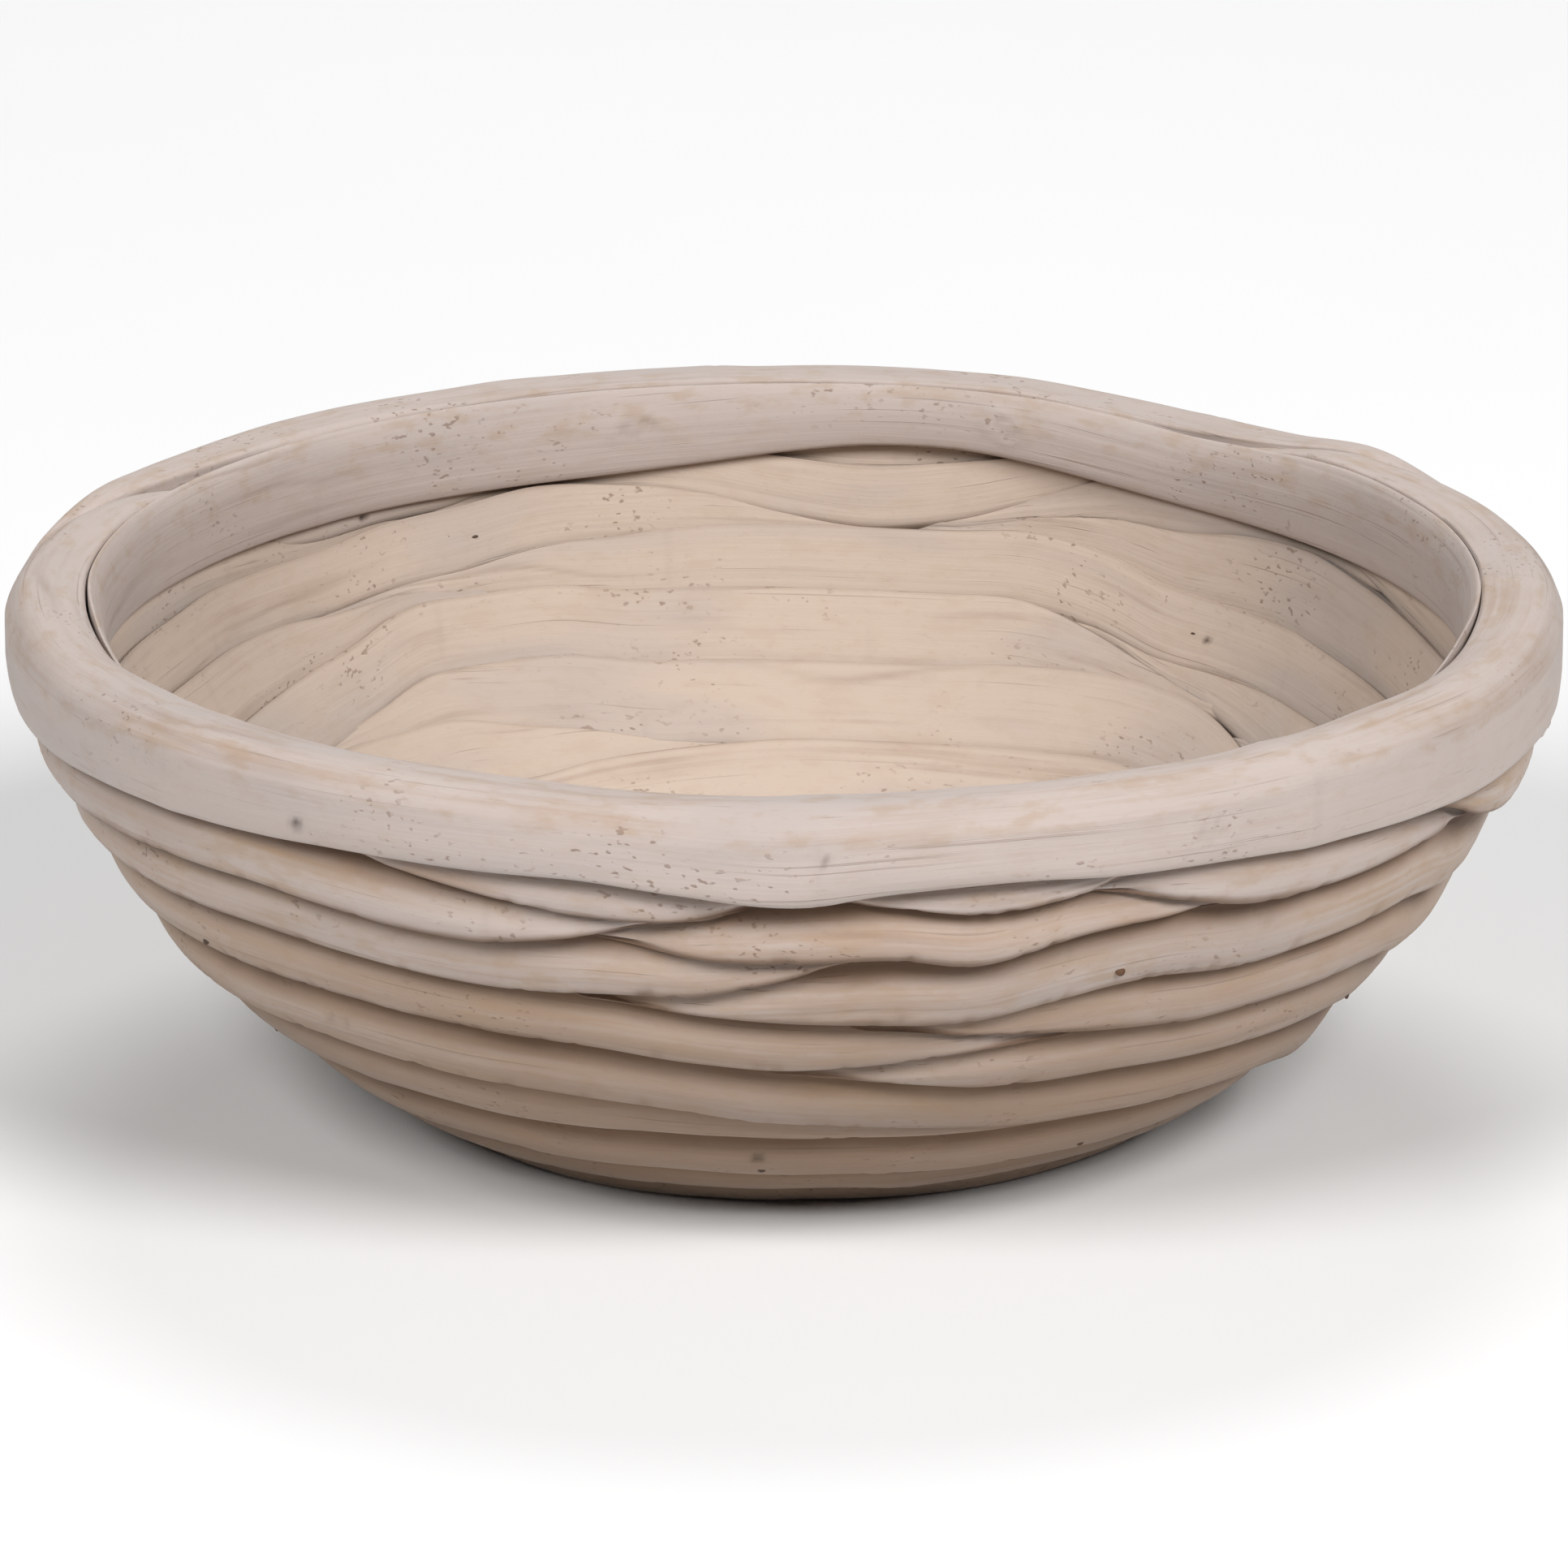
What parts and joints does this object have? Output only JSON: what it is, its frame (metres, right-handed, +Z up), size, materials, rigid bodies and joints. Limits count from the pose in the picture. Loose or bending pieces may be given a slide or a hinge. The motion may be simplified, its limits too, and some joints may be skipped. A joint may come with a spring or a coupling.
{
  "type": "proving basket",
  "caption": "Round bowl-shaped proving basket for bread dough, laid up from thick whitewashed canes with long tapered ends, pinned with wire brads.",
  "frame": {"origin": "centre of the flat underside that the basket stands on", "axes": "+Z up through the open mouth of the bowl, -Y towards the front of the basket"},
  "size_m": [0.2498, 0.2498, 0.085],
  "materials": {
    "wall_cane": "whitewashed split cane, pinkish beige, dry and matt, brown in the grooves",
    "rim_cane": "whitewashed cane, cooler and greyer on the worn top of the rim",
    "floor_cane": "whitewashed cane with flour in the grooves, matt",
    "brad_wire": "dark oxidised wire"
  },
  "bodies": {
    "root": {"floor_cane_inner": "floor_cane", "floor_cane_middle": "floor_cane", "floor_cane_outer": "floor_cane", "foot_cane_right": "wall_cane", "foot_cane_left": "wall_cane", "base_cane_right": "wall_cane", "base_cane_left": "wall_cane", "wall_cane_01": "wall_cane", "wall_cane_02": "wall_cane", "wall_cane_03": "wall_cane", "wall_cane_04": "wall_cane", "wall_cane_05": "wall_cane", "wall_cane_06": "wall_cane", "wall_cane_07": "wall_cane", "wall_cane_08": "wall_cane", "wall_cane_09": "wall_cane", "wall_cane_10": "wall_cane", "wall_cane_11": "wall_cane", "wall_cane_12": "wall_cane", "wall_cane_13": "wall_cane", "wall_cane_14": "wall_cane", "wall_cane_15": "wall_cane", "wall_cane_16": "wall_cane", "wall_cane_17": "wall_cane", "wall_cane_18": "wall_cane", "wall_cane_19": "wall_cane", "wall_cane_20": "wall_cane", "wall_cane_21": "wall_cane", "rim_cane_inner": "rim_cane", "rim_cane_front": "rim_cane", "rim_cane_back": "rim_cane", "wire_brad_01": "brad_wire", "wire_brad_02": "brad_wire", "wire_brad_03": "brad_wire", "wire_brad_04": "brad_wire", "wire_brad_05": "brad_wire", "wire_brad_06": "brad_wire", "wire_brad_07": "brad_wire", "wire_brad_08": "brad_wire", "wire_brad_09": "brad_wire", "wire_brad_10": "brad_wire", "wire_brad_11": "brad_wire", "wire_brad_12": "brad_wire", "wire_brad_13": "brad_wire", "wire_brad_14": "brad_wire", "wire_brad_15": "brad_wire", "wire_brad_16": "brad_wire"}
  },
  "joints": []
}
